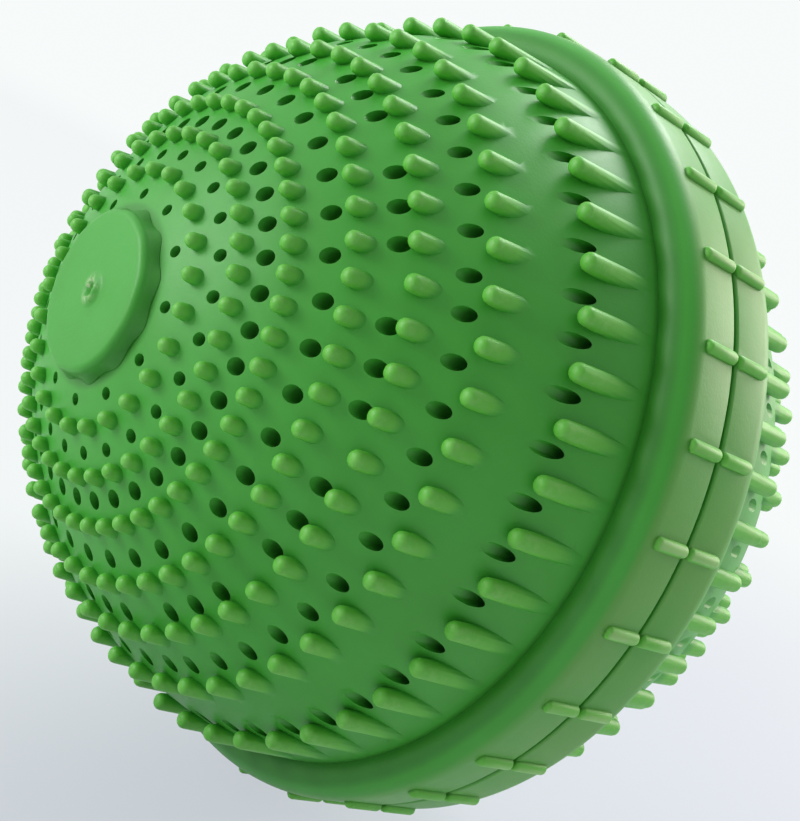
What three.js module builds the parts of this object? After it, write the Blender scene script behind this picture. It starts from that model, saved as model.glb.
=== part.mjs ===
import * as THREE from 'three';

// A laundry ball: two moulded half shells joined at a ribbed rim, a turning filler cap at each pole,
// and loose ceramic beads inside. Sizes are in millimetres. The ball's axis lies along Y with the front
// pole towards -Y, the seam is the plane y = 0, and the origin is the centre of the ball.

// Half shell: a domed wall, closed at the rim by a rounded shoulder and a flat band
const DOME_RADIUS = 48.5;
const SHELL_WALL = 2.2;
const BAND_STANDOFF = 3.4;
const BAND_WIDTH = 5.6;
const SHOULDER_ROUND = 3.2;
const SHOULDER_STEPS = 4;
const SEAM_GAP = 0.5;

// Ribs across the band, which meet end to end at the seam
const RIB_COUNT = 30;
const RIB_HEIGHT = 0.8;
const RIB_FOOT_WIDTH = 2;
const RIB_TOP_WIDTH = 1.2;
const RIB_END_SLOPE = 0.4;

// Push-fit joint between the halves
const SPIGOT_WALL = 2.4;
const SPIGOT_REACH = 4.7;
const JOINT_CLEARANCE = 0.3;
const JOINT_SIDES = 40;

// Pegs and drain holes stand in rings round the pole and all run parallel to the axis, as the mould pulls.
// A ring's turn is the place of its first copy, in steps of that ring from the pattern's start. A ring of
// holes lies inset from its ring of pegs towards the pole, and in one ring every fourth hole is left solid.
const PATTERN_START = THREE.MathUtils.degToRad(20.8);
const CAP_PEG_MARGIN = 5.7;
const RIM_PEG_INSET = 2.2;
const PEG_STANDOFF = 1.5;
const PEG_ROOT_ACROSS = 2.1;
const PEG_TIP_ACROSS = 1.7;
const PEG_RINGS = [
  { count: 24, turn: 0 },
  { count: 36, turn: 0.5 },
  { count: 48, turn: 0 },
  { count: 48, turn: 0 },
  { count: 48, turn: 0 },
  { count: 48, turn: 0 },
  { count: 48, turn: 0 },
];
const HOLE_RINGS = [
  { count: 12, turn: 0, inset: 3.4, across: 1.6 },
  { count: 24, turn: 0.5, inset: 2.9, across: 1.7 },
  { count: 36, turn: 0, inset: 3, across: 1.9 },
  { count: 36, turn: 0, inset: 2.2, across: 1.9 },
  { count: 48, turn: -1, inset: 2.2, across: 1.9, solidEvery: 4 },
  { count: 48, turn: 0.5, inset: 2.2, across: 1.9 },
  { count: 48, turn: 0.5, inset: 2.2, across: 1.9 },
];

// Filler cap: a thick disc with grip bumps, plugged into a bore in a flat seat on the pole
const CAP_RADIUS = 10;
const CAP_THICKNESS = 1.8;
const CAP_EDGE = 0.5;
const CAP_SEAT_MARGIN = 0.8;
const CAP_CLEARANCE = 0.3;
const GRIP_COUNT = 12;
const GRIP_HEIGHT = 0.6;
const GRIP_WIDTH = 2.6;
const BORE_RADIUS = 7.5;
const PLUG_DEPTH = 3.6;
const PLUG_SIDES = 24;
const GATE_RADIUS = 1.5;
const GATE_CREST_RADIUS = 0.9;
const GATE_RIM = 0.25;
const GATE_DIMPLE = 0.5;
const GATE_SIDES = 12;

// Ceramic beads, a close-packed layer in the bottom of the chamber
const BEAD_DIAMETER = 8;
const BEAD_GAP = 0.6;
const BEAD_WALL_GAP = 0.6;
const BEAD_RINGS = 2;
const BEAD_DETAIL = 1;

// Sizes that follow from those above
const FULL_TURN = 2 * Math.PI;
const CHAMBER_RADIUS = DOME_RADIUS - SHELL_WALL;
const BAND_RADIUS = DOME_RADIUS + BAND_STANDOFF;
const PEG_REACH = DOME_RADIUS + PEG_STANDOFF;
const FIRST_PEG_RING = CAP_RADIUS + CAP_PEG_MARGIN;
const LAST_PEG_RING = DOME_RADIUS - RIM_PEG_INSET;
const RING_STEP = (LAST_PEG_RING - FIRST_PEG_RING) / (PEG_RINGS.length - 1);
const SEAM_HEIGHT = SEAM_GAP / 2;
const RIB_RADIUS = BAND_RADIUS + RIB_HEIGHT;
const SPIGOT_RADIUS = CHAMBER_RADIUS + SPIGOT_WALL;
const SOCKET_RADIUS = SPIGOT_RADIUS + JOINT_CLEARANCE;
const SOCKET_DEPTH = SPIGOT_REACH + JOINT_CLEARANCE;
const SEAT_RADIUS = CAP_RADIUS + CAP_SEAT_MARGIN;
const SEAT_HEIGHT = heightOn(DOME_RADIUS, SEAT_RADIUS);
const CAP_BASE_HEIGHT = SEAT_HEIGHT + CAP_CLEARANCE;
const CAP_FACE_HEIGHT = CAP_BASE_HEIGHT + CAP_THICKNESS;
const PLUG_RADIUS = BORE_RADIUS - CAP_CLEARANCE;

// Height above the seam plane of a sphere about the ball's centre, at a distance from the axis
function heightOn(sphereRadius, distance) {
  return Math.sqrt(sphereRadius ** 2 - distance ** 2);
}

// Evenly spaced angles of one ring
function ringAngles(count, turn = 0, start = 0) {
  return Array.from({ length: count }, (_, copy) => start + (FULL_TURN * (copy + turn)) / count);
}

// A three-cornered section beside the axis: a corner towards the axis and a side away from it
function threeCorners(distance, angle, across) {
  const far = distance + across / 3;
  const halfSide = across / Math.sqrt(3);
  const farRadius = Math.hypot(far, halfSide);
  const spread = Math.atan2(halfSide, far);
  return [
    { radius: distance - (2 * across) / 3, angle },
    { radius: farRadius, angle: angle - spread },
    { radius: farRadius, angle: angle + spread },
  ];
}

// The points of a circle in the order of their angles from zero
function startedFromZero(circle) {
  const wrapped = circle.map(({ index, angle }) => ({
    index,
    angle: THREE.MathUtils.euclideanModulo(angle, FULL_TURN),
  }));
  return wrapped.sort((first, second) => first.angle - second.angle);
}

// A closed surface knitted from circles of points round the pole axis, each joined to the next
class Knitting {
  constructor() {
    this.positions = [];
    this.faces = [];
  }

  point(radius, angle, height) {
    this.positions.push(radius * Math.cos(angle), radius * Math.sin(angle), height);
    return { index: this.positions.length / 3 - 1, angle };
  }

  circle(sides, radius, height) {
    return ringAngles(sides).map((angle) => this.point(radius, angle, height));
  }

  face(first, second, third) {
    this.faces.push(first.index, second.index, third.index);
  }

  // Zips two circles together, stepping along whichever has its next side sooner
  join(upperCircle, lowerCircle) {
    const upper = startedFromZero(upperCircle);
    const lower = startedFromZero(lowerCircle);
    const angleAt = (circle, step) => {
      const laps = Math.floor(step / circle.length);
      return circle[step % circle.length].angle + FULL_TURN * laps;
    };
    const sideMiddle = (circle, step) => angleAt(circle, step) + angleAt(circle, step + 1);
    const upperSides = upper.length > 1 ? upper.length : 0;
    const lowerSides = lower.length > 1 ? lower.length : 0;
    let upperStep = 0;
    let lowerStep = 0;
    while (upperStep < upperSides || lowerStep < lowerSides) {
      const upperPoint = upper[upperStep % upper.length];
      const lowerPoint = lower[lowerStep % lower.length];
      const upperIsSooner = sideMiddle(upper, upperStep) < sideMiddle(lower, lowerStep);
      if (lowerStep === lowerSides || (upperStep < upperSides && upperIsSooner)) {
        upperStep += 1;
        this.face(upperPoint, lowerPoint, upper[upperStep % upper.length]);
      } else {
        lowerStep += 1;
        this.face(upperPoint, lowerPoint, lower[lowerStep % lower.length]);
      }
    }
  }

  // Joins two circles of equal count, point to point
  joinInStep(upper, lower) {
    upper.forEach((point, step) => {
      const next = (step + 1) % upper.length;
      this.face(point, lower[step], lower[next]);
      this.face(point, lower[next], upper[next]);
    });
  }

  // A ring of three-cornered openings left in a sphere, with the surface between them
  openings(sections, sphereRadius, facesOut) {
    const loops = sections.map((section) =>
      section.map((corner) => this.point(corner.radius, corner.angle, heightOn(sphereRadius, corner.radius))),
    );
    loops.forEach(([near, , right], copy) => {
      const [nextNear, nextLeft] = loops[(copy + 1) % loops.length];
      if (facesOut) {
        this.face(near, right, nextLeft);
        this.face(near, nextLeft, nextNear);
      } else {
        this.face(near, nextLeft, right);
        this.face(near, nextNear, nextLeft);
      }
    });
    const near = loops.map((loop) => loop[0]);
    const far = loops.flatMap((loop) => [loop[1], loop[2]]);
    return { loops, near, far };
  }

  geometry() {
    const geometry = new THREE.BufferGeometry();
    geometry.setAttribute('position', new THREE.Float32BufferAttribute(this.positions, 3));
    geometry.setIndex(this.faces);
    return geometry;
  }
}

// A peg on its foot, drawn in towards a flat tip
function raisePeg(knitting, foot, distance, angle) {
  const tipHeight = heightOn(PEG_REACH, distance);
  const corners = threeCorners(distance, angle, PEG_TIP_ACROSS);
  const tip = corners.map((corner) => knitting.point(corner.radius, corner.angle, tipHeight));
  knitting.joinInStep(tip, foot);
  knitting.face(tip[0], tip[1], tip[2]);
}

// Circles of the shoulder, from its crease with the dome to the edge of the band
function shoulderCircles(knitting) {
  const centreRadius = BAND_RADIUS - SHOULDER_ROUND;
  const centreDistance = Math.hypot(centreRadius, BAND_WIDTH);
  const towardsAxis = Math.PI + Math.atan2(BAND_WIDTH, centreRadius);
  const squares = SHOULDER_ROUND ** 2 + centreDistance ** 2 - DOME_RADIUS ** 2;
  const creaseAngle = towardsAxis - Math.acos(squares / (2 * SHOULDER_ROUND * centreDistance));
  const halfFoot = RIB_FOOT_WIDTH / 2 / BAND_RADIUS;
  const angles = ringAngles(RIB_COUNT).flatMap((angle) => [angle - halfFoot, angle + halfFoot]);
  return Array.from({ length: SHOULDER_STEPS + 1 }, (_, step) => {
    const slope = creaseAngle * (1 - step / SHOULDER_STEPS);
    const radius = centreRadius + SHOULDER_ROUND * Math.cos(slope);
    const height = BAND_WIDTH + SHOULDER_ROUND * Math.sin(slope);
    return angles.map((angle) => knitting.point(radius, angle, height));
  });
}

// The band with its ribs, from the shoulder's last circle to the seam edge
function ribbedBand(knitting, shoulderEdge) {
  const halfTop = RIB_TOP_WIDTH / 2 / RIB_RADIUS;
  const upper = [];
  const lower = [];
  ringAngles(RIB_COUNT).forEach((angle, copy) => {
    const left = shoulderEdge[2 * copy];
    const right = shoulderEdge[2 * copy + 1];
    const topHeight = BAND_WIDTH - RIB_END_SLOPE;
    const topLeft = knitting.point(RIB_RADIUS, angle - halfTop, topHeight);
    const topRight = knitting.point(RIB_RADIUS, angle + halfTop, topHeight);
    knitting.face(right, left, topLeft);
    knitting.face(right, topLeft, topRight);
    upper.push(left, topLeft, topRight, right);
    lower.push(
      knitting.point(BAND_RADIUS, left.angle, SEAM_HEIGHT),
      knitting.point(RIB_RADIUS, topLeft.angle, SEAM_HEIGHT),
      knitting.point(RIB_RADIUS, topRight.angle, SEAM_HEIGHT),
      knitting.point(BAND_RADIUS, right.angle, SEAM_HEIGHT),
    );
  });
  knitting.joinInStep(upper, lower);
  return lower;
}

// Circles of the joint face, from the seam edge to the chamber wall
function socketCircles(knitting) {
  return [
    knitting.circle(JOINT_SIDES, SOCKET_RADIUS, SEAM_HEIGHT),
    knitting.circle(JOINT_SIDES, SOCKET_RADIUS, SOCKET_DEPTH),
    knitting.circle(JOINT_SIDES, heightOn(CHAMBER_RADIUS, SOCKET_DEPTH), SOCKET_DEPTH),
  ];
}

function spigotCircles(knitting) {
  return [
    knitting.circle(JOINT_SIDES, SPIGOT_RADIUS, SEAM_HEIGHT),
    knitting.circle(JOINT_SIDES, SPIGOT_RADIUS, -SPIGOT_REACH),
    knitting.circle(JOINT_SIDES, CHAMBER_RADIUS, -SPIGOT_REACH),
    knitting.circle(JOINT_SIDES, CHAMBER_RADIUS, 0),
  ];
}

// One half shell with its pole up, knitted down the outside, across the joint and back up the inside
function halfShell(jointCircles) {
  const knitting = new Knitting();
  const boreMouth = knitting.circle(PLUG_SIDES, BORE_RADIUS, SEAT_HEIGHT);
  let edge = boreMouth;
  const carryOn = (circle, lastCircle = circle) => {
    knitting.join(edge, circle);
    edge = lastCircle;
  };
  carryOn(knitting.circle(PLUG_SIDES, SEAT_RADIUS, SEAT_HEIGHT));

  const drains = [];
  PEG_RINGS.forEach((pegRing, ring) => {
    const pegDistance = FIRST_PEG_RING + ring * RING_STEP;
    const holeRing = HOLE_RINGS[ring];
    const holeDistance = pegDistance - holeRing.inset;
    const sections = ringAngles(holeRing.count, holeRing.turn, PATTERN_START)
      .filter((_, copy) => !holeRing.solidEvery || (copy + 1) % holeRing.solidEvery !== 0)
      .map((angle) => threeCorners(holeDistance, angle, holeRing.across));
    const mouths = knitting.openings(sections, DOME_RADIUS, true);
    carryOn(mouths.near, mouths.far);
    drains.unshift({ sections, mouths });

    const pegAngles = ringAngles(pegRing.count, pegRing.turn, PATTERN_START);
    const feet = pegAngles.map((angle) => threeCorners(pegDistance, angle, PEG_ROOT_ACROSS));
    const roots = knitting.openings(feet, DOME_RADIUS, true);
    carryOn(roots.near, roots.far);
    roots.loops.forEach((foot, copy) => raisePeg(knitting, foot, pegDistance, pegAngles[copy]));
  });

  const shoulder = shoulderCircles(knitting);
  shoulder.forEach((circle) => carryOn(circle));
  edge = ribbedBand(knitting, edge);
  jointCircles(knitting).forEach((circle) => carryOn(circle));

  drains.forEach(({ sections, mouths }) => {
    const exits = knitting.openings(sections, CHAMBER_RADIUS, false);
    carryOn(exits.far, exits.near);
    mouths.loops.forEach((mouth, copy) => knitting.joinInStep(exits.loops[copy], mouth));
  });
  carryOn(knitting.circle(PLUG_SIDES, BORE_RADIUS, heightOn(CHAMBER_RADIUS, BORE_RADIUS)));
  knitting.join(edge, boreMouth);
  return knitting.geometry();
}

// The filler cap with its face up, knitted from the moulding gate outwards and down to the plug's end
function fillerCap() {
  const knitting = new Knitting();
  const halfGrip = GRIP_WIDTH / 2 / CAP_RADIUS;
  const gripOutline = ringAngles(GRIP_COUNT).flatMap((angle) => [
    { angle: angle - halfGrip, lift: 0 },
    { angle, lift: GRIP_HEIGHT },
    { angle: angle + halfGrip, lift: 0 },
  ]);
  const outline = (radius, height, liftShare) =>
    gripOutline.map(({ angle, lift }) => knitting.point(radius + lift * liftShare, angle, height));
  const circles = [
    [knitting.point(0, 0, CAP_FACE_HEIGHT - GATE_DIMPLE)],
    knitting.circle(GATE_SIDES, GATE_CREST_RADIUS, CAP_FACE_HEIGHT + GATE_RIM),
    knitting.circle(GATE_SIDES, GATE_RADIUS, CAP_FACE_HEIGHT),
    outline(CAP_RADIUS - CAP_EDGE, CAP_FACE_HEIGHT, 0),
    outline(CAP_RADIUS, CAP_FACE_HEIGHT - CAP_EDGE, 1),
    outline(CAP_RADIUS, CAP_BASE_HEIGHT, 1),
    knitting.circle(PLUG_SIDES, PLUG_RADIUS, CAP_BASE_HEIGHT),
    knitting.circle(PLUG_SIDES, PLUG_RADIUS, SEAT_HEIGHT - PLUG_DEPTH),
    [knitting.point(0, 0, SEAT_HEIGHT - PLUG_DEPTH)],
  ];
  circles.slice(1).forEach((circle, step) => knitting.join(circles[step], circle));
  return knitting.geometry();
}

// Centres of the beads: one at the lowest point and rings of six, twelve and so on about it
function beadCentres() {
  const bedRadius = CHAMBER_RADIUS - BEAD_WALL_GAP - BEAD_DIAMETER / 2;
  const step = 2 * Math.asin((BEAD_DIAMETER + BEAD_GAP) / 2 / bedRadius);
  const centres = [];
  for (let ring = 0; ring <= BEAD_RINGS; ring += 1) {
    for (const angle of ringAngles(Math.max(1, 6 * ring))) {
      const aside = bedRadius * Math.sin(ring * step);
      const down = bedRadius * Math.cos(ring * step);
      centres.push(new THREE.Vector3(aside * Math.cos(angle), aside * Math.sin(angle), -down));
    }
  }
  return centres;
}

const greenPlastic = new THREE.MeshStandardMaterial({ color: 0x4aa83a, roughness: 0.42, metalness: 0 });
const creamCeramic = new THREE.MeshStandardMaterial({ color: 0xe8dcb4, roughness: 0.55, metalness: 0 });

function namedMesh(name, geometry, material) {
  const mesh = new THREE.Mesh(geometry, material.clone());
  mesh.name = name;
  return mesh;
}

const frontHalf = new THREE.Group();
frontHalf.add(namedMesh('front_shell', halfShell(socketCircles), greenPlastic));
frontHalf.add(namedMesh('front_cap', fillerCap(), greenPlastic));
frontHalf.rotation.x = Math.PI / 2;

const rearHalf = new THREE.Group();
rearHalf.add(namedMesh('rear_shell', halfShell(spigotCircles), greenPlastic));
rearHalf.add(namedMesh('rear_cap', fillerCap(), greenPlastic));
rearHalf.rotation.x = -Math.PI / 2;

const beads = new THREE.Group();
beadCentres().forEach((centre, copy) => {
  const number = String(copy + 1).padStart(2, '0');
  const geometry = new THREE.IcosahedronGeometry(BEAD_DIAMETER / 2, BEAD_DETAIL);
  const bead = namedMesh(`bead_${number}`, geometry, creamCeramic);
  bead.position.copy(centre);
  beads.add(bead);
});

const laundryBall = new THREE.Group();
laundryBall.add(frontHalf, rearHalf, beads);

export default laundryBall;
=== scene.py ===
import math

import bpy
from mathutils import Matrix, Vector


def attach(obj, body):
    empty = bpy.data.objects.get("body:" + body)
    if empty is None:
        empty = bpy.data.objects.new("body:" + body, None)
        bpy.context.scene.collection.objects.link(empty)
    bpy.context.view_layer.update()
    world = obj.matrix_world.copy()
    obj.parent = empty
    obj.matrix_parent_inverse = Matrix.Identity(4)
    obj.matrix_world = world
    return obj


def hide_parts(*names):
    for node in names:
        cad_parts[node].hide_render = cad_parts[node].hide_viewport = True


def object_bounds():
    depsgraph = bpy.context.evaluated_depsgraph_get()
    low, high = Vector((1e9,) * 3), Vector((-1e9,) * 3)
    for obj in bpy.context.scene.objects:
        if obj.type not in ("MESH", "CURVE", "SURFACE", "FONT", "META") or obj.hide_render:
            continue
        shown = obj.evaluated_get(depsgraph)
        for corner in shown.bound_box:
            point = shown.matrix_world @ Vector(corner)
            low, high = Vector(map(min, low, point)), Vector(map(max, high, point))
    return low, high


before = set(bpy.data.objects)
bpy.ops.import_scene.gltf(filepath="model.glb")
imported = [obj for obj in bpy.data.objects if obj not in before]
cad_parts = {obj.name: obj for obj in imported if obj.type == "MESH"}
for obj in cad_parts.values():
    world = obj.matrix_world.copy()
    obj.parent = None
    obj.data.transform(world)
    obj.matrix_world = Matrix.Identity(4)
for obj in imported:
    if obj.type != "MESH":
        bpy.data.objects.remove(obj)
cad_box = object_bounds()

# Front half shell: one satin green polypropylene moulding, a pegged and perforated dome whose pegs and drain
# holes all run parallel to the axis, the way the mould opens. A rounded shoulder and a ribbed band close its
# rim, and a socket inside the rim takes the rear half's spigot.
DOME_RADIUS = 0.0485
SHELL_WALL = 0.0022
CHAMBER_RADIUS = DOME_RADIUS - SHELL_WALL
DOME_STEPS = 60
CHAMBER_STEPS = 40
SHELL_SIDES = 264
SHELL_SHARP_ABOVE = 36

BAND_RADIUS = DOME_RADIUS + 0.0034
BAND_WIDTH = 0.0056
SHOULDER_ROUND = 0.0032
SHOULDER_STEPS = 12
SEAM_HEIGHT = 0.00025
SEAM_LIP = 0.00035
SEAM_LIP_STEPS = 4

SPIGOT_RADIUS = CHAMBER_RADIUS + 0.0024
SPIGOT_REACH = 0.0047
JOINT_CLEARANCE = 0.0003
SOCKET_RADIUS = SPIGOT_RADIUS + JOINT_CLEARANCE
SOCKET_DEPTH = SPIGOT_REACH + JOINT_CLEARANCE

BORE_RADIUS = 0.0075
SEAT_RADIUS = 0.0108
SEAT_HEIGHT = math.sqrt(DOME_RADIUS**2 - SEAT_RADIUS**2)
BORE_LIP = 0.0003
BORE_LIP_STEPS = 3

# Each ring has a count, the place of its first copy in steps of that ring from the pattern's start, and its
# distance from the axis. Then come a peg's radii at the root and the tip, or a drain's radius at the mouth
# and the steps by which groups of six drains are turned back and forth in turn. One ring of drains leaves
# out every fourth.
PATTERN_START = math.radians(20.8)
PEG_RINGS = [
    (24, 0, 0.0153, 0.00102, 0.00088),
    (36, 0.5, 0.0205, 0.00104, 0.00090),
    (48, 0, 0.0256, 0.00108, 0.00094),
    (48, 0, 0.0313, 0.00118, 0.00100),
    (48, 0, 0.0361, 0.00122, 0.00104),
    (48, 0, 0.0412, 0.00128, 0.00106),
    (48, 0, 0.0462, 0.00145, 0.00110),
]
DRAIN_RINGS = [
    (12, 0, 0.0123, 0.00075, 0),
    (24, 0.5, 0.0179, 0.0008, 0),
    (36, 0, 0.0228, 0.0010, 0),
    (36, 0, 0.0287, 0.0010, 0),
    (48, -1, 0.0341, 0.0010, 0),
    (48, 0.5, 0.0389, 0.0009, 0.09),
    (48, 0.5, 0.0448, 0.00085, 0.09),
]
TURNED_DRAINS = 6
TURNED_FROM = 4
SPACED_DRAIN_RING = 4
SOLID_EVERY = 4
PEG_SIDES = 14
PEG_TIP_STEPS = 4
DRAIN_SIDES = 18
RIB_COUNT = 30
RIB_SIDES = 18
RIB_EDGE_STEPS = 3
RIB_HEIGHT = 0.0008
RIB_HALF_WIDTH = 0.00082

MOULDED_SIZES = {
    "Dome Radius": DOME_RADIUS,
    "Chamber Radius": CHAMBER_RADIUS,
    "Peg Tip Round": 0.0008,
    "Peg Reach": DOME_RADIUS + 0.0016,
    "Peg Sink": 0.00015,
    "Drain Taper": 0.00015,
    "Drain Overrun": 0.001,
    "Rib Half Width": RIB_HALF_WIDTH,
    "Rib Centre Radius": BAND_RADIUS + RIB_HEIGHT - RIB_HALF_WIDTH,
    "Rib Length": BAND_WIDTH - SEAM_HEIGHT,
    "Rib Edge": 0.0005,
    "Seam Height": SEAM_HEIGHT,
}

PLASTIC_GREEN = (0.043, 0.340, 0.024, 1.0)
PLASTIC_PALE_GREEN = (0.054, 0.378, 0.036, 1.0)
SCUFFED_BAND_GREEN = (0.110, 0.355, 0.055, 1.0)
PEG_GREEN = (0.125, 0.510, 0.046, 1.0)
# Pale peg-tip colour: partly wear, partly a painted highlight.
WORN_AND_LIT_TIP_GREEN = (0.230, 0.560, 0.130, 1.0)
# Pale rib-top colour: partly wear, partly a painted highlight.
WORN_AND_LIT_RIB_GREEN = (0.420, 0.620, 0.280, 1.0)
# Dark green painted as shade into the crease, the drain walls and round the caps' feet.
PAINTED_SHADE_GREEN = (0.020, 0.150, 0.010, 1.0)
# Pale gate colour: partly stress whitening, partly a painted highlight.
TORN_AND_LIT_GATE_GREEN = (0.460, 0.620, 0.330, 1.0)
BLOTCH_SIZE = 0.016
SPECK_SIZE = 0.0012
GRAIN_SIZE = 0.00035
PLASTIC_ROUGHNESS = 0.37
ROUGHNESS_SPREAD = 0.10

# How strongly each tint covers the one below it where it is full.
LEAST_SCUFF = 0.5
PEG_TINT = 0.85
# Tip and rib wear below is partly a painted highlight.
TIP_WEAR_AND_HIGHLIGHT = 0.5
RIB_WEAR_AND_HIGHLIGHT = 0.5
# The crease, drain and cap-foot strengths below are for painted shade.
CREASE_PAINTED_SHADE = 0.45
DRAIN_PAINTED_SHADE = 0.6
CAP_FOOT_PAINTED_SHADE = 0.4

# Where each tint begins and where it is full, measured from the surface or the place that its name gives.
PEGS_OFF_SEAM = (0.0085, 0.0095)
PEGS_PAST_SEAT = (0.0, 0.0010)
PEG_OVER_DOME = (0.0001, 0.0009)
TIP_OVER_DOME = (0.0009, 0.0017)
SCUFF_OVER_BAND = (-0.0005, -0.00005)
RIB_OVER_BAND = (0.00005, 0.0003)
RIB_TOP_OVER_BAND = (RIB_HEIGHT - 0.0003, RIB_HEIGHT)
# The crease, drain and cap-foot ranges below place painted shade.
CREASE_HEIGHT = 0.0087
CREASE_SPREAD = (0.0001, 0.0008)
OUTSIDE_OVER_DOME = (-0.0017, -0.0005)
DRAIN_OVER_CHAMBER = (0.0001, 0.0006)
DRAIN_OVER_DOME = (-0.0012, -0.0003)
DRAIN_OFF_SEAM = (0.0062, 0.0070)
CAP_SIDE_PAST_SEAT = (-0.0012, -0.0008)
CAP_FOOT_PAST_SEAT = (-0.0002, 0.0006)
GATE_MARK_OFF_AXIS = (0.0008, 0.0022)


class Wire:
    """A node's socket that takes part in arithmetic, which adds math nodes to its tree."""

    def __init__(self, tree, socket=None):
        self.tree = tree
        self.socket = socket

    def node(self, kind, settings=None, inputs=None, output=0):
        """Adds a node, its settings first and then its sockets' values and links, and gives one output."""
        made = self.tree.nodes.new(kind)
        for name, value in (settings or {}).items():
            setattr(made, name, value)
        for name, value in (inputs or {}).items():
            for each in value if isinstance(value, list) else [value]:
                if isinstance(each, Wire):
                    self.tree.links.new(each.socket, made.inputs[name])
                else:
                    made.inputs[name].default_value = each
        return Wire(self.tree, made.outputs[output] if made.outputs else None)

    def math(self, operation, *values):
        return self.node("ShaderNodeMath", {"operation": operation}, dict(enumerate(values)))

    def __add__(self, other):
        return self.math("ADD", self, other)

    def __radd__(self, other):
        return self.math("ADD", other, self)

    def __sub__(self, other):
        return self.math("SUBTRACT", self, other)

    def __rsub__(self, other):
        return self.math("SUBTRACT", other, self)

    def __mul__(self, other):
        return self.math("MULTIPLY", self, other)

    def __rmul__(self, other):
        return self.math("MULTIPLY", other, self)

    def __truediv__(self, other):
        return self.math("DIVIDE", self, other)

    def __rtruediv__(self, other):
        return self.math("DIVIDE", other, self)

    def __pow__(self, other):
        return self.math("POWER", self, other)

    def ramp(self, low, high):
        """Rises smoothly from 0 to 1 as this value goes from low to high."""
        limits = {"Value": self, "From Min": low, "From Max": high}
        return self.node("ShaderNodeMapRange", {"interpolation_type": "SMOOTHSTEP"}, limits)

    def noise(self, size, detail=2.0, roughness=0.5):
        """Noise from 0 to 1 with blotches of a size in metres, at the place that this vector gives."""
        inputs = {"Vector": self, "Scale": 1.0 / size, "Detail": detail, "Roughness": roughness}
        return self.node("ShaderNodeTexNoise", {}, inputs, "Fac")

    def mix(self, first, second):
        """The first colour where this value is 0 and the second where it is 1."""
        inputs = {"Factor": self, 6: first, 7: second}
        return self.node("ShaderNodeMix", {"data_type": "RGBA"}, inputs, 2)


def empty_material(name):
    material = bpy.data.materials.new(name)
    material.use_nodes = True
    material.node_tree.nodes.clear()
    return material


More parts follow.
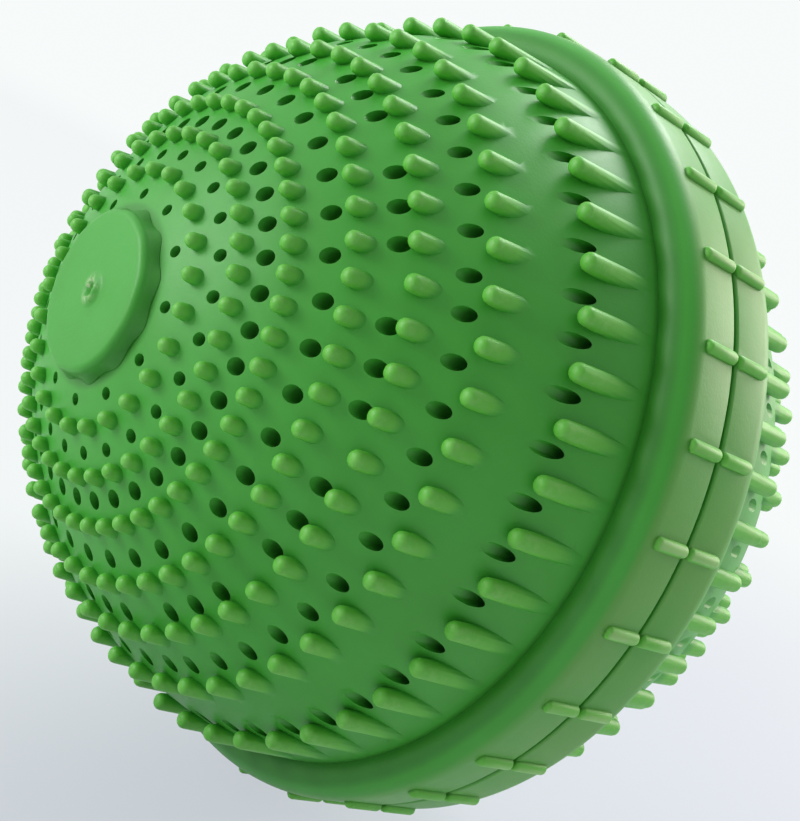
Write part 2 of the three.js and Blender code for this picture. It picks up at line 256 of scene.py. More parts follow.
def moulded_plastic(name):
    """Satin polypropylene, clearer and yellower where it is thin and scuffed outside, with painted shade in
    the crease, the drain walls and round the caps' feet, and paler peg tips, rib tops and gate mark that are
    partly wear and partly painted highlight.
    """
    material = empty_material(name)
    wires = Wire(material.node_tree)
    place = wires.node("ShaderNodeTexCoord", output="Object")
    reach = wires.node("ShaderNodeVectorMath", {"operation": "LENGTH"}, {0: place}, "Value")
    along_axis = wires.node("ShaderNodeSeparateXYZ", inputs={0: place}, output="Y")
    off_seam = along_axis.math("ABSOLUTE", along_axis)
    off_axis = (reach * reach - along_axis * along_axis) ** 0.5
    over_dome = reach - DOME_RADIUS
    over_chamber = reach - CHAMBER_RADIUS
    over_band = off_axis - BAND_RADIUS
    past_seat = off_axis - SEAT_RADIUS
    from_crease = off_seam - CREASE_HEIGHT
    pegged = off_seam.ramp(*PEGS_OFF_SEAM) * past_seat.ramp(*PEGS_PAST_SEAT)
    on_band = over_band.ramp(*SCUFF_OVER_BAND)
    on_rib = over_band.ramp(*RIB_OVER_BAND)
    on_rib_top = over_band.ramp(*RIB_TOP_OVER_BAND)
    on_peg = on_rib + pegged * over_dome.ramp(*PEG_OVER_DOME)
    at_tip = pegged * over_dome.ramp(*TIP_OVER_DOME)
    off_crease = from_crease.math("ABSOLUTE", from_crease)
    # The crease between dome and shoulder, darkened below with painted shade.
    in_crease = over_dome.ramp(*OUTSIDE_OVER_DOME) * (1.0 - off_crease.ramp(*CREASE_SPREAD))
    # The drain holes' walls, darkened below with painted shade.
    in_wall = over_chamber.ramp(*DRAIN_OVER_CHAMBER) * off_seam.ramp(*DRAIN_OFF_SEAM)
    in_drain = in_wall * (1.0 - over_dome.ramp(*DRAIN_OVER_DOME))
    # Round the caps' sides and feet, darkened below with painted shade.
    round_cap = past_seat.ramp(*CAP_SIDE_PAST_SEAT) * (1.0 - past_seat.ramp(*CAP_FOOT_PAST_SEAT))
    at_gate = 1.0 - off_axis.ramp(*GATE_MARK_OFF_AXIS)
    blotches = place.noise(BLOTCH_SIZE, 3.0)
    specks = place.noise(SPECK_SIZE, 4.0, 0.65)
    grain = place.noise(GRAIN_SIZE, 3.0, 0.6)

    clouded = blotches.ramp(0.3, 0.7).mix(PLASTIC_GREEN, PLASTIC_PALE_GREEN)
    scuff = LEAST_SCUFF + (1.0 - LEAST_SCUFF) * blotches.ramp(0.35, 0.65)
    scuffed = (on_band * scuff).mix(clouded, SCUFFED_BAND_GREEN)
    clearer = (on_peg * PEG_TINT).mix(scuffed, PEG_GREEN)
    # Peg tips paler in specks: partly wear, partly a painted highlight.
    worn_and_lit_tips = (at_tip * specks.ramp(0.35, 0.75) * TIP_WEAR_AND_HIGHLIGHT).mix(clearer, WORN_AND_LIT_TIP_GREEN)
    # Rib tops paler in blotches: partly wear, partly a painted highlight.
    rubbed_and_lit_ribs = (on_rib_top * blotches.ramp(0.40, 0.60) * RIB_WEAR_AND_HIGHLIGHT).mix(worn_and_lit_tips, WORN_AND_LIT_RIB_GREEN)
    # Painted shade: the crease, the drain walls and the caps' feet are darkened where shadow falls.
    painted_shade = in_crease * CREASE_PAINTED_SHADE + in_drain * DRAIN_PAINTED_SHADE + round_cap * CAP_FOOT_PAINTED_SHADE
    with_painted_shade = painted_shade.mix(rubbed_and_lit_ribs, PAINTED_SHADE_GREEN)
    # The gate mark paler in specks: partly stress whitening, partly a painted highlight.
    torn = (at_gate * specks.ramp(0.45, 0.62)).mix(with_painted_shade, TORN_AND_LIT_GATE_GREEN)
    rough = PLASTIC_ROUGHNESS + ROUGHNESS_SPREAD * blotches + ROUGHNESS_SPREAD * specks
    height = grain * 0.7 + specks * 0.6
    normal = wires.node("ShaderNodeBump", inputs={"Strength": 0.12, "Distance": 0.0002, "Height": height})
    shader = wires.node(
        "ShaderNodeBsdfPrincipled",
        inputs={
            "Base Color": torn,
            "Roughness": rough,
            "Normal": normal,
            "IOR": 1.49,
            "Subsurface Weight": 0.12,
            "Subsurface Radius": (0.35, 1.0, 0.2),
            "Subsurface Scale": 0.0012,
        },
    )
    wires.node("ShaderNodeOutputMaterial", inputs={"Surface": shader})
    return material


def round_stretch(centre, radius, start, end, steps):
    """Points of a round stretch of a profile, each a distance from the axis and a height off the seam."""
    points = []
    for step in range(steps + 1):
        angle = start + (end - start) * step / steps
        points.append((centre[0] + radius * math.cos(angle), centre[1] + radius * math.sin(angle)))
    return points


def dome_and_rim():
    """The outside of a half shell, from the bore's mouth over the dome and the shoulder to the seam."""
    centre = (BAND_RADIUS - SHOULDER_ROUND, BAND_WIDTH)
    centre_distance = math.hypot(*centre)
    squares = SHOULDER_ROUND**2 + centre_distance**2 - DOME_RADIUS**2
    towards_axis = math.pi + math.atan2(centre[1], centre[0])
    crease = towards_axis - math.acos(squares / (2 * SHOULDER_ROUND * centre_distance))
    crease_height = centre[1] + SHOULDER_ROUND * math.sin(crease)
    dome_end = math.asin(crease_height / DOME_RADIUS)
    bore_lip = (BORE_RADIUS + BORE_LIP, SEAT_HEIGHT - BORE_LIP)
    seam_lip = (BAND_RADIUS - SEAM_LIP, SEAM_HEIGHT + SEAM_LIP)
    return [
        *round_stretch(bore_lip, BORE_LIP, math.pi, math.pi / 2, BORE_LIP_STEPS),
        *round_stretch((0, 0), DOME_RADIUS, math.acos(SEAT_RADIUS / DOME_RADIUS), dome_end, DOME_STEPS)[:-1],
        *round_stretch(centre, SHOULDER_ROUND, crease, 0, SHOULDER_STEPS),
        *round_stretch(seam_lip, SEAM_LIP, 0, -math.pi / 2, SEAM_LIP_STEPS),
    ]


def chamber_wall(start_height):
    """The inside of a half shell, from a height near the seam to the bore."""
    start = math.asin(start_height / CHAMBER_RADIUS)
    end = math.acos(BORE_RADIUS / CHAMBER_RADIUS)
    return round_stretch((0, 0), CHAMBER_RADIUS, start, end, CHAMBER_STEPS)


def turned_ring(name, profile):
    """A ring turned from a closed profile that runs down the outside and back up the inside."""
    vertices = []
    for radius, height in profile:
        for side in range(SHELL_SIDES):
            angle = 2 * math.pi * side / SHELL_SIDES
            vertices.append((radius * math.cos(angle), radius * math.sin(angle), height))
    faces = []
    for row in range(len(profile)):
        below = (row + 1) % len(profile)
        for side in range(SHELL_SIDES):
            beside = (side + 1) % SHELL_SIDES
            corners = [(row, side), (below, side), (below, beside), (row, beside)]
            faces.append([level * SHELL_SIDES + place for level, place in corners])
    mesh = bpy.data.meshes.new(name)
    mesh.from_pydata(vertices, [], faces)
    return mesh


def height_on(sphere_radius, distance):
    """Height above the seam of a sphere about the ball's centre, at a distance from the axis."""
    return (sphere_radius * sphere_radius - distance * distance) ** 0.5


def swept_bar(wires, points, height, radius, sides):
    """A round bar along the axis, whose height and radius are given at each of its points by index."""
    line = wires.node("GeometryNodeMeshLine", inputs={"Count": points})
    path = wires.node("GeometryNodeMeshToCurve", inputs={"Mesh": line})
    place = wires.node("ShaderNodeCombineXYZ", inputs={"Z": height})
    placed = wires.node("GeometryNodeSetPosition", inputs={"Geometry": path, "Position": place})
    section = wires.node("GeometryNodeCurvePrimitiveCircle", inputs={"Resolution": sides, "Radius": 1.0})
    inputs = {"Curve": placed, "Profile Curve": section, "Scale": radius, "Fill Caps": True}
    return wires.node("GeometryNodeCurveToMesh", inputs=inputs)


def peg(wires, sizes, distance, root_radius, tip_radius):
    """A tapered peg with a rounded tip, its foot sunk in the dome's wall."""
    foot = height_on(sizes["Dome Radius"], distance + root_radius) - sizes["Peg Sink"]
    tip = height_on(sizes["Peg Reach"], distance)
    index = wires.node("GeometryNodeInputIndex")
    above_foot = index.math("MINIMUM", index, 1.0)
    slope = (index - 1.0).math("MAXIMUM", index - 1.0, 0.0) * (math.pi / 2 / PEG_TIP_STEPS)
    fall = sizes["Peg Tip Round"] * (1.0 - slope.math("SINE", slope))
    narrowing = sizes["Peg Tip Round"] * (1.0 - slope.math("COSINE", slope))
    height = foot + above_foot * (tip - fall - foot)
    radius = root_radius + above_foot * (tip_radius - root_radius - narrowing)
    return swept_bar(wires, PEG_TIP_STEPS + 2, height, radius, PEG_SIDES)


def drain_core(wires, sizes, distance, mouth_radius):
    """The mould's core pin for one drain hole, a little wider at the mouth so that it draws."""
    exit_radius = mouth_radius - sizes["Drain Taper"]
    exit_height = height_on(sizes["Chamber Radius"], distance + exit_radius) - sizes["Drain Overrun"]
    mouth_height = height_on(sizes["Dome Radius"], distance - mouth_radius) + sizes["Drain Overrun"]
    inputs = {
        "Vertices": DRAIN_SIDES,
        "Radius Top": mouth_radius,
        "Radius Bottom": exit_radius,
        "Depth": mouth_height - exit_height,
    }
    pin = wires.node("GeometryNodeMeshCone", {"fill_type": "NGON"}, inputs)
    lift = wires.node("ShaderNodeCombineXYZ", inputs={"Z": exit_height})
    return wires.node("GeometryNodeTransform", inputs={"Geometry": pin, "Translation": lift})


def rib(wires, sizes):
    """A half-round bar across the band, with softened ends."""
    index = wires.node("GeometryNodeInputIndex")
    from_middle = index - (RIB_EDGE_STEPS + 0.5)
    end = from_middle.math("SIGN", from_middle)
    slope = (from_middle.math("ABSOLUTE", from_middle) - 0.5) * (math.pi / 2 / RIB_EDGE_STEPS)
    fall = sizes["Rib Edge"] * (1.0 - slope.math("SINE", slope))
    narrowing = sizes["Rib Edge"] * (1.0 - slope.math("COSINE", slope))
    middle = sizes["Seam Height"] + sizes["Rib Length"] / 2
    height = middle + end * (sizes["Rib Length"] / 2 - fall)
    return swept_bar(wires, 2 * (RIB_EDGE_STEPS + 1), height, sizes["Rib Half Width"] - narrowing, RIB_SIDES)


def ring_of(wires, shape, count, start, distance, chosen=True):
    """Copies of a shape in a ring round the axis, from a starting angle."""
    circle = wires.node("GeometryNodeMeshCircle", inputs={"Vertices": count, "Radius": distance})
    turned = wires.node("GeometryNodeTransform", inputs={"Geometry": circle, "Rotation": (0.0, 0.0, start)})
    inputs = {"Points": turned, "Instance": shape, "Selection": chosen}
    return wires.node("GeometryNodeInstanceOnPoints", inputs=inputs)


def ring_start(count, turn):
    return PATTERN_START + 2 * math.pi * turn / count


def realized(wires, geometries):
    joined = wires.node("GeometryNodeJoinGeometry", inputs={"Geometry": geometries})
    return wires.node("GeometryNodeRealizeInstances", inputs={"Geometry": joined})


def pegs_drains_and_ribs():
    """The tree that drills a turned shell and sets its pegs and ribs on it."""
    tree = bpy.data.node_groups.new("pegs_drains_and_ribs", "GeometryNodeTree")
    tree.interface.new_socket("Shell", in_out="INPUT", socket_type="NodeSocketGeometry")
    for name in MOULDED_SIZES:
        tree.interface.new_socket(name, in_out="INPUT", socket_type="NodeSocketFloat")
    tree.interface.new_socket("Finish", in_out="INPUT", socket_type="NodeSocketMaterial")
    tree.interface.new_socket("Shell", in_out="OUTPUT", socket_type="NodeSocketGeometry")
    entry = tree.nodes.new("NodeGroupInput")
    sizes = {socket.name: Wire(tree, socket) for socket in entry.outputs if socket.name}
    wires = Wire(tree)

    pegs = []
    cores = []
    for count, turn, distance, root_radius, tip_radius in PEG_RINGS:
        shape = peg(wires, sizes, distance, root_radius, tip_radius)
        pegs.append(ring_of(wires, shape, count, ring_start(count, turn), distance))
    number = wires.node("GeometryNodeInputIndex")
    group = (number + TURNED_FROM) / TURNED_DRAINS
    turned_back = number.math("MODULO", group.math("FLOOR", group), 2.0)
    drilled_here = number.math("MODULO", number + 1.0, SOLID_EVERY)
    for ring, (count, turn, distance, mouth_radius, shift) in enumerate(DRAIN_RINGS):
        core = drain_core(wires, sizes, distance, mouth_radius)
        if shift:
            turns = [(turn - shift, turned_back), (turn + shift, 1.0 - turned_back)]
        else:
            turns = [(turn, drilled_here if ring == SPACED_DRAIN_RING else True)]
        for place, chosen in turns:
            cores.append(ring_of(wires, core, count, ring_start(count, place), distance, chosen))
    ribs = ring_of(wires, rib(wires, sizes), RIB_COUNT, 0.0, sizes["Rib Centre Radius"])

    cut = {"operation": "DIFFERENCE", "solver": "MANIFOLD"}
    cut_inputs = {"Mesh 1": sizes["Shell"], "Mesh 2": realized(wires, cores)}
    drilled = wires.node("GeometryNodeMeshBoolean", cut, cut_inputs)
    join = {"operation": "UNION", "solver": "MANIFOLD"}
    join_inputs = {"Mesh 2": [drilled, realized(wires, [*pegs, ribs])]}
    pegged = wires.node("GeometryNodeMeshBoolean", join, join_inputs)
    finish_inputs = {"Geometry": realized(wires, [pegged]), "Material": sizes["Finish"]}
    finished = wires.node("GeometryNodeSetMaterial", inputs=finish_inputs)
    leave = tree.nodes.new("NodeGroupOutput")
    tree.links.new(finished.socket, leave.inputs[0])
    return tree


def piece_from(name, mesh):
    piece = bpy.data.objects.new(name, mesh)
    bpy.context.scene.collection.objects.link(piece)
    return piece


def grown_by(piece, tree, values):
    """Runs a node tree on a piece, with inputs set by their sockets' identifiers, and keeps a plain mesh."""
    modifier = piece.modifiers.new(tree.name, "NODES")
    modifier.node_group = tree
    for socket in tree.interface.items_tree:
        if socket.in_out == "INPUT" and socket.name in values:
            modifier[socket.identifier] = values[socket.name]
    evaluated = piece.evaluated_get(bpy.context.evaluated_depsgraph_get())
    mesh = bpy.data.meshes.new_from_object(evaluated)
    piece.modifiers.remove(modifier)
    piece.data = mesh


def shaded_round(piece, sharp_above):
    piece.data.shade_smooth()
    piece.data.set_sharp_from_angle(angle=math.radians(sharp_above))


def half_shell(name, joint_profile, chamber_start, finish, tree, pole_turn):
    """A half shell made pole up and turned to its place."""
    profile = [*dome_and_rim(), *joint_profile, *chamber_wall(chamber_start)]
    shell = piece_from(name, turned_ring(name, profile))
    grown_by(shell, tree, {**MOULDED_SIZES, "Finish": finish})
    shell.data.transform(Matrix.Rotation(pole_turn, 4, "X"))
    shaded_round(shell, SHELL_SHARP_ABOVE)
    return shell


FRONT_POLE_TURN = math.radians(90)
green_plastic = moulded_plastic("green_moulded_plastic")
moulding_tree = pegs_drains_and_ribs()
socket_profile = [(SOCKET_RADIUS, SEAM_HEIGHT), (SOCKET_RADIUS, SOCKET_DEPTH)]
front_shell = half_shell(
    "front_half_shell", socket_profile, SOCKET_DEPTH, green_plastic, moulding_tree, FRONT_POLE_TURN
)
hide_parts("front_shell")
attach(front_shell, "front_half")

# Rear half shell: the same moulding with a spigot in place of the socket. The spigot is a plain ring that
# carries on the chamber's wall past the seam and pushes into the front half.
REAR_POLE_TURN = math.radians(-90)
spigot_profile = [
    (SPIGOT_RADIUS, SEAM_HEIGHT),
    (SPIGOT_RADIUS, -SPIGOT_REACH),
    (CHAMBER_RADIUS, -SPIGOT_REACH),
]
rear_shell = half_shell("rear_half_shell", spigot_profile, 0.0, green_plastic, moulding_tree, REAR_POLE_TURN)
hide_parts("rear_shell")
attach(rear_shell, "rear_half")

# Filler caps: thick discs of the same plastic, one on each pole, turned by the grip lobes round their edge
# and plugged into the shell's bore. The mould's gate has left a dimple with a torn rim in the face's middle.
CAP_RADIUS = 0.0100
CAP_THICKNESS = 0.0018
CAP_CLEARANCE = 0.0003
CAP_FOOT_GAP = 0.00006
CAP_EDGE = 0.0008
CAP_EDGE_STEPS = 6
CAP_FOOT_FLARE = 0.0003
CAP_SIDES = 240
GRIP_COUNT = 12
GRIP_START = math.radians(6)
GRIP_HEIGHT = 0.0006
GRIP_HALF_WIDTH = 0.0024
GRIP_AT_FACE = 0.15
PLUG_RADIUS = BORE_RADIUS - CAP_CLEARANCE
PLUG_DEPTH = 0.0036
PLUG_EDGE = 0.0005
PLUG_EDGE_STEPS = 4
GATE_RADIUS = 0.0024
GATE_RIM = 0.00060
GATE_DIMPLE = 0.0009
GATE_TORN_SHARE = 0.45
GATE_DIMPLE_NARROWING = 1.7
GATE_STEPS = 18
FACE_STEPS = 6
CAP_SHARP_ABOVE = 40


def grip_lift(angle):
    """How far a grip lobe stands out at an angle, as a share of its height."""
    step = 2 * math.pi / GRIP_COUNT
    from_lobe = abs((angle - GRIP_START + step / 2) % step - step / 2) * CAP_RADIUS
    if from_lobe > GRIP_HALF_WIDTH:
        return 0.0
    return 0.5 + 0.5 * math.cos(math.pi * from_lobe / GRIP_HALF_WIDTH)


def gate_height(share, angle):
    """Height of the gate's mark over the face, from its middle to its edge, torn higher on one side."""
    rim = math.sin(math.pi * share) ** 2
    dimple = math.cos(math.pi / 2 * min(1.0, share * GATE_DIMPLE_NARROWING)) ** 2
    torn = 1.0 - GATE_TORN_SHARE + GATE_TORN_SHARE * math.cos(angle)
    return GATE_RIM * rim * torn - GATE_DIMPLE * dimple


def cap_rows(base, face):
    """Rows of the cap's surface, each a radius, a height and its shares of the grip lobes and the gate."""
    rows = []
    for step in range(1, GATE_STEPS + 1):
        rows.append((GATE_RADIUS * step / GATE_STEPS, face, 0.0, step / GATE_STEPS))
    edge_radius = CAP_RADIUS - CAP_FOOT_FLARE - CAP_EDGE
    for step in range(1, FACE_STEPS):
        rows.append((GATE_RADIUS + (edge_radius - GATE_RADIUS) * step / FACE_STEPS, face, 0.0, None))
    edge_centre = (edge_radius, face - CAP_EDGE)
    for radius, height in round_stretch(edge_centre, CAP_EDGE, math.pi / 2, 0, CAP_EDGE_STEPS):
        rounded = (radius - edge_radius) / CAP_EDGE
        rows.append((radius, height, GRIP_AT_FACE * rounded, None))
    for step in range(1, FACE_STEPS + 1):
        share = step / FACE_STEPS
        height = face - CAP_EDGE + (base - face + CAP_EDGE) * share
        lift = GRIP_AT_FACE + (1.0 - GRIP_AT_FACE) * share
        rows.append((CAP_RADIUS - CAP_FOOT_FLARE * (1.0 - share), height, lift, None))
    rows.append((PLUG_RADIUS, base, 0.0, None))
    plug_corner = (PLUG_RADIUS - PLUG_EDGE, SEAT_HEIGHT - PLUG_DEPTH + PLUG_EDGE)
    for radius, height in round_stretch(plug_corner, PLUG_EDGE, 0, -math.pi / 2, PLUG_EDGE_STEPS):
        rows.append((radius, height, 0.0, None))
    return rows


def filler_cap(name, pole_turn):
    """A cap made pole up and turned to its place, with its face and its plug's end closed about the axis."""
    base = SEAT_HEIGHT + CAP_FOOT_GAP
    face = SEAT_HEIGHT + CAP_CLEARANCE + CAP_THICKNESS
    rows = cap_rows(base, face)
    vertices = [(0.0, 0.0, face - GATE_DIMPLE), (0.0, 0.0, SEAT_HEIGHT - PLUG_DEPTH)]
    for radius, height, lobes, gate in rows:
        for side in range(CAP_SIDES):
            angle = 2 * math.pi * side / CAP_SIDES
            out = radius + GRIP_HEIGHT * lobes * grip_lift(angle)
            up = height if gate is None else height + gate_height(gate, angle)
            vertices.append((out * math.cos(angle), out * math.sin(angle), up))
    faces = []
    last = len(vertices) - CAP_SIDES
    for side in range(CAP_SIDES):
        beside = (side + 1) % CAP_SIDES
        faces.append((0, 2 + side, 2 + beside))
        faces.append((1, last + beside, last + side))
        for row in range(len(rows) - 1):
            upper = 2 + row * CAP_SIDES
            lower = upper + CAP_SIDES
            faces.append((upper + side, lower + side, lower + beside, upper + beside))
    mesh = bpy.data.meshes.new(name)
    mesh.from_pydata(vertices, [], faces)
    mesh.transform(Matrix.Rotation(pole_turn, 4, "X"))
    mesh.materials.append(green_plastic)
    cap = piece_from(name, mesh)
    shaded_round(cap, CAP_SHARP_ABOVE)
    return cap


for half, pole_turn in (("front", FRONT_POLE_TURN), ("rear", REAR_POLE_TURN)):
    cap = filler_cap(f"{half}_filler_cap", pole_turn)
    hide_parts(f"{half}_cap")
    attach(cap, f"{half}_filler")

# Ceramic beads: fired cream pellets, rolled nearly round, which lie loose in the bottom of the chamber in a
# close-packed layer and show through the drain holes.
BEAD_DIAMETER = 0.008
BEAD_GAP = 0.0006
BEAD_WALL_GAP = 0.0006
BEAD_RINGS = 2
BEAD_SUBDIVISIONS = 4
BEAD_UNEVENNESS = 0.00025
BEAD_LUMP_SIZE = 0.005
BEAD_SEED = 7
BEAD_SHARP_ABOVE = 60
BEAD_CREAM = (0.70, 0.62, 0.43, 1.0)
BEAD_PALE = (0.80, 0.74, 0.58, 1.0)
BEAD_SPECK = (0.36, 0.27, 0.16, 1.0)
BEAD_CLOUD_SIZE = 0.003
BEAD_SPECK_SIZE = 0.0005
BEAD_PIT_SIZE = 0.00025


def fired_ceramic(name):
    """Unglazed stoneware: matt, finely pitted and speckled with iron."""
    material = empty_material(name)
    wires = Wire(material.node_tree)
    place = wires.node("ShaderNodeTexCoord", output="Object")
    clouds = place.noise(BEAD_CLOUD_SIZE, 3.0)
    specks = place.noise(BEAD_SPECK_SIZE, 2.0, 0.7)
    pits = place.noise(BEAD_PIT_SIZE, 3.0, 0.6)
    body = clouds.ramp(0.3, 0.7).mix(BEAD_CREAM, BEAD_PALE)
    speckled = (specks.ramp(0.66, 0.74) * 0.7).mix(body, BEAD_SPECK)
    rough = 0.55 + 0.2 * specks
    normal = wires.node("ShaderNodeBump", inputs={"Strength": 0.25, "Distance": 0.0001, "Height": pits})
    inputs = {"Base Color": speckled, "Roughness": rough, "Normal": normal, "IOR": 1.5}
    shader = wires.node("ShaderNodeBsdfPrincipled", inputs=inputs)
    wires.node("ShaderNodeOutputMaterial", inputs={"Surface": shader})
    return material


def bead_centres():
    """One bead at the lowest point and rings of six, twelve and so on about it."""
    bed_radius = CHAMBER_RADIUS - BEAD_WALL_GAP - BEAD_DIAMETER / 2
    step = 2 * math.asin((BEAD_DIAMETER + BEAD_GAP) / 2 / bed_radius)
    centres = []
    for ring in range(BEAD_RINGS + 1):
        count = max(1, 6 * ring)
        off_lowest = bed_radius * math.sin(ring * step)
        height = -bed_radius * math.cos(ring * step)
        for copy in range(count):
            angle = 2 * math.pi * copy / count
            centres.append((off_lowest * math.cos(angle), off_lowest * math.sin(angle), height))
    return centres


def rolled_beads():
    """The tree that sets a slightly uneven bead on each point, each one turned its own way."""
    tree = bpy.data.node_groups.new("rolled_beads", "GeometryNodeTree")
    tree.interface.new_socket("Centres", in_out="INPUT", socket_type="NodeSocketGeometry")
    for name in ("Bead Radius", "Unevenness"):
        tree.interface.new_socket(name, in_out="INPUT", socket_type="NodeSocketFloat")
    tree.interface.new_socket("Seed", in_out="INPUT", socket_type="NodeSocketInt")
    tree.interface.new_socket("Finish", in_out="INPUT", socket_type="NodeSocketMaterial")
    tree.interface.new_socket("Beads", in_out="OUTPUT", socket_type="NodeSocketGeometry")
    entry = tree.nodes.new("NodeGroupInput")
    sizes = {socket.name: Wire(tree, socket) for socket in entry.outputs if socket.name}
    wires = Wire(tree)
    radius = sizes["Bead Radius"] - sizes["Unevenness"] / 2
    ball_inputs = {"Radius": radius, "Subdivisions": BEAD_SUBDIVISIONS}
    ball = wires.node("GeometryNodeMeshIcoSphere", inputs=ball_inputs)
    turn_inputs = {"Max": (2 * math.pi,) * 3, "Seed": sizes["Seed"]}
    turn = wires.node("FunctionNodeRandomValue", {"data_type": "FLOAT_VECTOR"}, turn_inputs)
    set_inputs = {"Points": sizes["Centres"], "Instance": ball, "Rotation": turn}
    beads = realized(wires, [wires.node("GeometryNodeInstanceOnPoints", inputs=set_inputs)])
    place = wires.node("GeometryNodeInputPosition")
    lumps = (place.noise(BEAD_LUMP_SIZE, 1.0) - 0.5) * sizes["Unevenness"]
    outwards = wires.node("GeometryNodeInputNormal")
    offset = wires.node("ShaderNodeVectorMath", {"operation": "SCALE"}, {0: outwards, "Scale": lumps})
    uneven = wires.node("GeometryNodeSetPosition", inputs={"Geometry": beads, "Offset": offset})
    finish_inputs = {"Geometry": uneven, "Material": sizes["Finish"]}
    finished = wires.node("GeometryNodeSetMaterial", inputs=finish_inputs)
    leave = tree.nodes.new("NodeGroupOutput")
    tree.links.new(finished.socket, leave.inputs[0])
    return tree


bead_points = bpy.data.meshes.new("ceramic_beads")
bead_points.from_pydata(bead_centres(), [], [])
beads = piece_from("ceramic_beads", bead_points)
bead_values = {
    "Bead Radius": BEAD_DIAMETER / 2,
    "Unevenness": BEAD_UNEVENNESS,
    "Seed": BEAD_SEED,
    "Finish": fired_ceramic("cream_fired_ceramic"),
}
grown_by(beads, rolled_beads(), bead_values)
shaded_round(beads, BEAD_SHARP_ABOVE)
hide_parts(*(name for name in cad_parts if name.startswith("bead_")))
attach(beads, "bead_bed")

# Studio: a pale sheet under the ball, painted grey near it as shade and painted white farther off and at its
# left as light, and three soft lamps: one from the camera's left, one from above and a slightly warm one
# from behind. The surround is white to the camera and in reflections, and as a light it is bright behind the
# ball and dim before it.
FLOOR_REACH = 3.0
# Floor colours: grey is painted shade near the ball, white is painted light farther off and at the left.
FLOOR_GREY = (0.75, 0.76, 0.81, 1.0)
FLOOR_PALE = (0.66, 0.70, 0.76, 1.0)
FLOOR_WHITE = (0.93, 0.96, 0.955, 1.0)
WHITE_FROM = 0.12
WHITE_BY = 0.50
PALE_SIDE = (-1.0, -0.35, 0.0)
PALE_FROM = -0.02
PALE_BY = 0.06
PALE_SHARE = 0.8
SHADOW_FADE = 0.8
SURROUND_FRONT = 0.26
SURROUND_BACK = 0.9
BACK_SIDE = (-0.85, 0.25, 0.35)
BACK_SIDE_FROM = -0.3
BACK_SIDE_BY = 0.7
KEY_WATTS = 1.75
KEY_SIZE = 0.28
KEY_PLACE = (-0.28, -0.52, 0.10)
KEY_COLOUR = (1.0, 1.0, 1.0)
TOP_WATTS = 2.0
TOP_SIZE = 0.25
TOP_PLACE = (-0.18, 0.24, 0.46)
TOP_COLOUR = (1.0, 1.0, 1.0)
BACK_WATTS = 1.55
BACK_SIZE = 0.30
BACK_PLACE = (0.07, 0.43, 0.27)
BACK_COLOUR = (1.0, 0.90, 0.78)


def seen_directly(wires):
    """1 for a ray that shows the background as it is: the camera's, or one off a gloss or through glass."""
    rays = ("Is Camera Ray", "Is Glossy Ray", "Is Transmission Ray")
    camera, glossy, through = (wires.node("ShaderNodeLightPath", output=ray) for ray in rays)
    return camera.math("MAXIMUM", camera, glossy.math("MAXIMUM", glossy, through))


def along(wires, vector, side):
    """How far a vector goes towards a side."""
    return wires.node("ShaderNodeVectorMath", {"operation": "DOT_PRODUCT"}, {0: vector, 1: side}, "Value")


def pale_sheet():
    """White paper that the camera sees mostly by a pale glow, painted grey as shade near the ball and white
    as light farther off and at its left, so that the shadow on it is faint; its own colour is also painted
    whiter at its left as light.
    """
    material = empty_material("pale_sheet")
    wires = Wire(material.node_tree)
    place = wires.node("ShaderNodeTexCoord", output="Object")
    distance = wires.node("ShaderNodeVectorMath", {"operation": "LENGTH"}, {0: place}, "Value")
    sideways = along(wires, place, PALE_SIDE)
    # Painted light: the sheet turns whiter towards its left, both as seen and where it bounces light.
    pale = PALE_SHARE * sideways.ramp(PALE_FROM, PALE_BY)
    away = pale.math("MAXIMUM", pale, distance.ramp(WHITE_FROM, WHITE_BY))
    seen = seen_directly(wires)
    lit = wires.node("ShaderNodeBsdfDiffuse", inputs={"Color": pale.mix(FLOOR_GREY, FLOOR_WHITE)})
    # Painted shade: what the camera sees is grey near the ball and white farther off.
    shade = away.mix(FLOOR_PALE, FLOOR_WHITE)
    glow = wires.node("ShaderNodeEmission", inputs={"Color": shade, "Strength": 1.0})
    faded = seen * (SHADOW_FADE + (1.0 - SHADOW_FADE) * away)
    sheet = wires.node("ShaderNodeMixShader", inputs={0: faded, 1: lit, 2: glow})
    wires.node("ShaderNodeOutputMaterial", inputs={"Surface": sheet})
    return material


def soft_light(name, watts, size, place, colour):
    light = bpy.data.lights.new(name, "AREA")
    light.shape = "DISK"
    light.energy = watts
    light.size = size
    light.color = colour
    lamp = bpy.data.objects.new(name, light)
    lamp.location = place
    lamp.rotation_euler = Vector(place).to_track_quat("Z", "Y").to_euler()
    bpy.context.scene.collection.objects.link(lamp)


floor_mesh = bpy.data.meshes.new("floor")
floor_level = cad_box[0][2]
floor_turns = [(-1, -1), (1, -1), (1, 1), (-1, 1)]
floor_corners = [(x * FLOOR_REACH, y * FLOOR_REACH, floor_level) for x, y in floor_turns]
floor_mesh.from_pydata(floor_corners, [], [(0, 1, 2, 3)])
floor_mesh.materials.append(pale_sheet())
piece_from("floor", floor_mesh)

soft_light("key_light", KEY_WATTS, KEY_SIZE, KEY_PLACE, KEY_COLOUR)
soft_light("top_light", TOP_WATTS, TOP_SIZE, TOP_PLACE, TOP_COLOUR)
soft_light("back_light", BACK_WATTS, BACK_SIZE, BACK_PLACE, BACK_COLOUR)

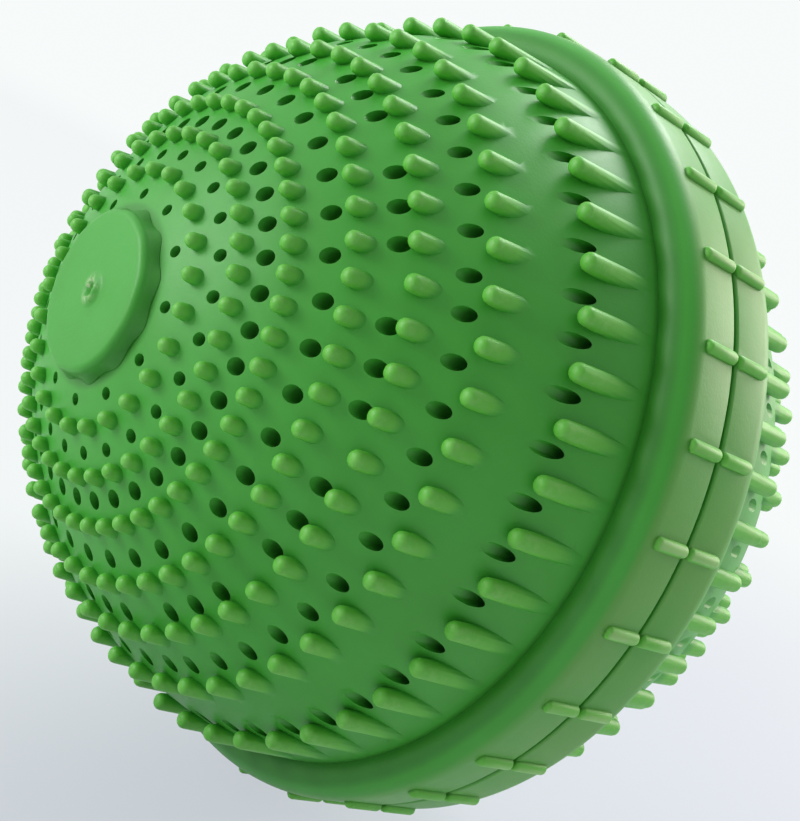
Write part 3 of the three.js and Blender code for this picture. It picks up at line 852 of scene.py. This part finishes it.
world = bpy.data.worlds.new("white_surround")
world.use_nodes = True
world.node_tree.nodes.clear()
sky = Wire(world.node_tree)
seen = seen_directly(sky)
direction = sky.node("ShaderNodeTexCoord", output="Generated")
behind = along(sky, direction, BACK_SIDE).ramp(BACK_SIDE_FROM, BACK_SIDE_BY)
light = SURROUND_FRONT + (SURROUND_BACK - SURROUND_FRONT) * behind
strength = light.math("MAXIMUM", light, seen)
surround = sky.node("ShaderNodeBackground", inputs={"Color": FLOOR_WHITE, "Strength": strength})
sky.node("ShaderNodeOutputWorld", inputs={"Surface": surround})
bpy.context.scene.world = world

# Camera: a hand's breadth and a half from the ball, turned from its axis so that the front pole shows at the
# left and the ribbed rim at the right, and rolled as the picture is.
CAMERA_DISTANCE = 0.18987
CAMERA_ASIDE = 0.00046
CAMERA_BELOW = 0.00047
CAMERA_FROM_AXIS = math.radians(49.32)
CAMERA_ROUND_AXIS = math.radians(16.55)
POLE_BEARING = math.radians(200.57)
FOCAL_LENGTH = 61.7
NEAREST_SEEN = 0.01

pole = Vector((0, -1, 0))
aside = Vector((math.cos(CAMERA_ROUND_AXIS), 0, math.sin(CAMERA_ROUND_AXIS)))
towards_camera = pole * math.cos(CAMERA_FROM_AXIS) + aside * math.sin(CAMERA_FROM_AXIS)
to_pole = (pole - towards_camera * pole.dot(towards_camera)).normalized()
across_pole = to_pole.cross(towards_camera)
right = to_pole * math.cos(POLE_BEARING) - across_pole * math.sin(POLE_BEARING)
down = to_pole * math.sin(POLE_BEARING) + across_pole * math.cos(POLE_BEARING)

lens = bpy.data.cameras.new("camera")
lens.lens = FOCAL_LENGTH
lens.clip_start = NEAREST_SEEN
camera = bpy.data.objects.new("camera", lens)
camera_place = towards_camera * CAMERA_DISTANCE - right * CAMERA_ASIDE + down * CAMERA_BELOW
camera_axes = Matrix([right, -down, towards_camera]).transposed().to_4x4()
camera.matrix_world = Matrix.Translation(camera_place) @ camera_axes
bpy.context.scene.collection.objects.link(camera)
bpy.context.scene.camera = camera
bpy.context.scene.view_settings.view_transform = "Standard"
